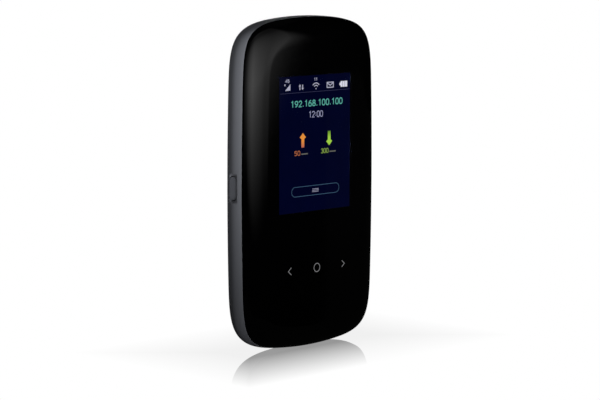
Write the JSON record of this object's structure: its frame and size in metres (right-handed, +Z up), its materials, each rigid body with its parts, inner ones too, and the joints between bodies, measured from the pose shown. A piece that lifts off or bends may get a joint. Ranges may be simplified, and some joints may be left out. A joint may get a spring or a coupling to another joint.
{
  "type": "mobile hotspot",
  "caption": "Pocket mobile hotspot with a domed gloss front, small colour display, touch keys, matte side frame, lift-off back cover and removable battery.",
  "frame": {"origin": "middle of the underside, on the small flat at the bottom end that the device stands on", "axes": "+Z up along the long side, the display faces -Y, +X to the viewer's right"},
  "size_m": [0.0623, 0.015, 0.1104],
  "materials": {
    "gloss_black": "piano-black, mirror gloss",
    "clear_window": "clear, polished",
    "matte_grey": "fine-grained satin",
    "button_grey": "fine-grained satin",
    "matte_black": "fine spark-eroded texture",
    "black_foam": "closed-cell foam",
    "display_glass": "lit display surface, polished",
    "light_guide": "milky, polished",
    "white_plastic": "moulded",
    "amber_flex": "polyimide film",
    "green_laminate": "solder mask over glass laminate",
    "tinned_steel": "tin plated, fine brushed",
    "screw_steel": "zinc plated",
    "chip_resin": "moulded epoxy",
    "gold_foil": "gold plated",
    "card_plastic": "smooth card",
    "battery_wrap": "satin black film over an aluminium can",
    "blank_label": "printed paper, no lettering"
  },
  "bodies": {
    "housing": {"front_cover": "gloss_black", "display_window": "clear_window", "optical_pad": "clear_window", "window_gasket": "black_foam", "lcd_cell": "display_glass", "lcd_backlight": "white_plastic", "lcd_flex": "amber_flex", "lcd_connector": "white_plastic", "touch_key_flex": "amber_flex", "key_light_guide": "light_guide", "key_led_left": "white_plastic", "key_led_center": "white_plastic", "key_led_right": "white_plastic", "side_frame": "matte_grey", "inner_deck": "matte_black", "screw_1": "screw_steel", "screw_2": "screw_steel", "screw_3": "screw_steel", "screw_4": "screw_steel", "screw_5": "screw_steel", "screw_6": "screw_steel", "main_board": "green_laminate", "shield_modem": "tinned_steel", "shield_radio": "tinned_steel", "shield_power": "tinned_steel", "modem_chip": "chip_resin", "memory_chip": "chip_resin", "radio_chip": "chip_resin", "power_chip": "chip_resin", "usb_shell": "tinned_steel", "usb_tongue": "chip_resin", "sim_socket": "tinned_steel", "switch_body": "tinned_steel", "battery_connector": "chip_resin", "battery_spring_1": "gold_foil", "battery_spring_2": "gold_foil", "battery_spring_3": "gold_foil", "battery_spring_4": "gold_foil", "antenna_carrier_top": "matte_black", "antenna_top": "gold_foil", "antenna_carrier_bottom": "matte_black", "antenna_bottom": "gold_foil", "antenna_wifi_left": "amber_flex", "antenna_wifi_right": "amber_flex"},
    "back_cover": {"back_cover": "matte_grey"},
    "battery": {"battery": "battery_wrap", "battery_label": "blank_label"},
    "power_button": {"power_button": "button_grey", "switch_plunger": "white_plastic"},
    "sim_card": {"sim_card": "card_plastic"}
  },
  "joints": [
    {"name": "power_button_press", "type": "slide", "parent": "housing", "child": "power_button", "axis": [1, 0, 0], "range_m": [0, 0.00035], "stiffness_N_per_m": 4000},
    {"name": "back_cover_lift", "type": "slide", "parent": "housing", "child": "back_cover", "axis": [0, 1, 0], "range_m": [0, 0.024]},
    {"name": "battery_lift", "type": "slide", "parent": "housing", "child": "battery", "axis": [0, 1, 0], "range_m": [0, 0.012]},
    {"name": "sim_card_slide", "type": "slide", "parent": "housing", "child": "sim_card", "axis": [1, 0, 0], "range_m": [0, 0.006]}
  ],
  "couplings": [
    {"joint": "battery_lift", "follows": "back_cover_lift", "ratio": 0.5},
    {"joint": "sim_card_slide", "follows": "back_cover_lift", "ratio": 0.25}
  ]
}
